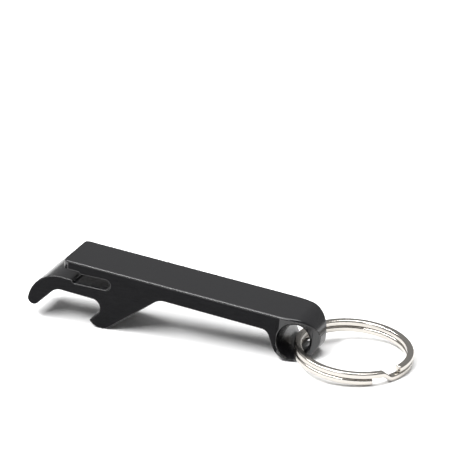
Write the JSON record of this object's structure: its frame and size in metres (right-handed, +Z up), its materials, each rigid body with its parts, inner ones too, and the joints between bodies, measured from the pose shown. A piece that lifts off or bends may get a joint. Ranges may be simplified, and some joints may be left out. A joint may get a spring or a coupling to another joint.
{
  "type": "keychain bottle opener",
  "caption": "Slim one-piece keychain bottle opener with a curled cap lip, a claw, a can-tab slot and a split ring in its countersunk eye.",
  "frame": {"origin": "under the middle of the whole object, on the surface that it lies on, in the opener's plane of symmetry", "axes": "+X from the lip to the split ring, +Y across the opener, +Z up"},
  "size_m": [0.085, 0.025, 0.0145],
  "materials": {
    "black_anodised": "gloss black anodised, extruded and saw cut",
    "bright_nickel": "bright nickel plated spring steel"
  },
  "bodies": {
    "opener": {"opener_body": "black_anodised"},
    "ring": {"split_ring": "bright_nickel"}
  },
  "joints": [
    {"name": "ring_swing", "type": "hinge", "parent": "opener", "child": "ring", "pos_m": [0.0183, 0, 0.00451], "axis": [0, 1, 0], "range_deg": [-164, 176]}
  ]
}
